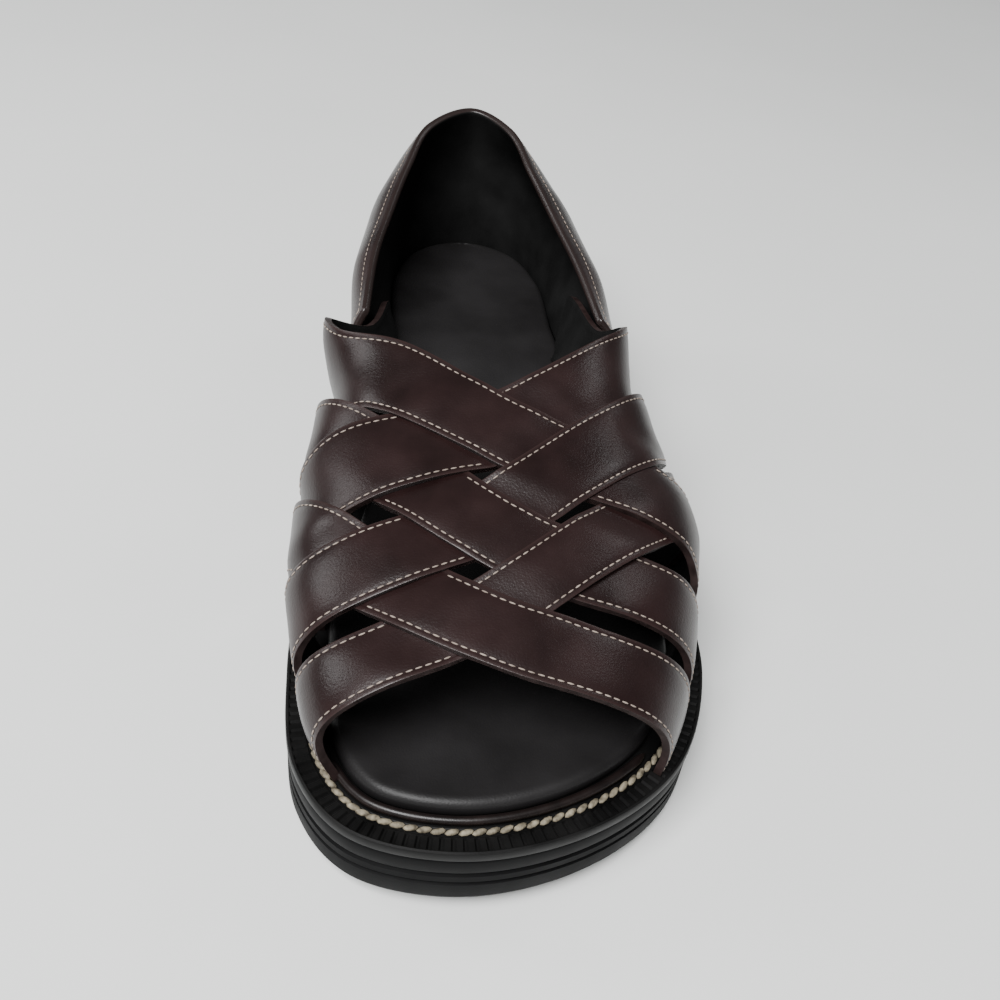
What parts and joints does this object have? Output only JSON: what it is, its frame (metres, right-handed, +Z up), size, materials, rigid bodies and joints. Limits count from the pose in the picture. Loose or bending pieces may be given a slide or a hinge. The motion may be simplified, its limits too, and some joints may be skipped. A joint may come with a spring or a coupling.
{
  "type": "fisherman sandal",
  "caption": "Left fisherman sandal with an open toe, a plain-woven strap vamp, a closed leather heel and a welted rubber sole with a low heel.",
  "frame": {"origin": "on the floor plane, under the middle of the sandal's bounding box", "axes": "+Z up, +Y from toe to heel, +X towards the outer side of the left foot"},
  "size_m": [0.1106, 0.272, 0.0885],
  "materials": {
    "sole_rubber": "matte moulded black rubber",
    "midsole_rubber": "satin black rubber",
    "welt_rubber": "satin black with pressed ribs and cream stitching",
    "insole_leather": "smooth black padded leather",
    "rand_leather": "glossy dark brown rolled leather",
    "strap_leather": "glossy oxblood brown leather with beige stitching",
    "quarter_leather": "glossy oxblood brown leather, black lining"
  },
  "bodies": {
    "root": {"outsole": "sole_rubber", "midsole": "midsole_rubber", "welt": "welt_rubber", "insole": "insole_leather", "rand": "rand_leather", "vamp": "strap_leather", "quarter": "quarter_leather"}
  },
  "joints": []
}
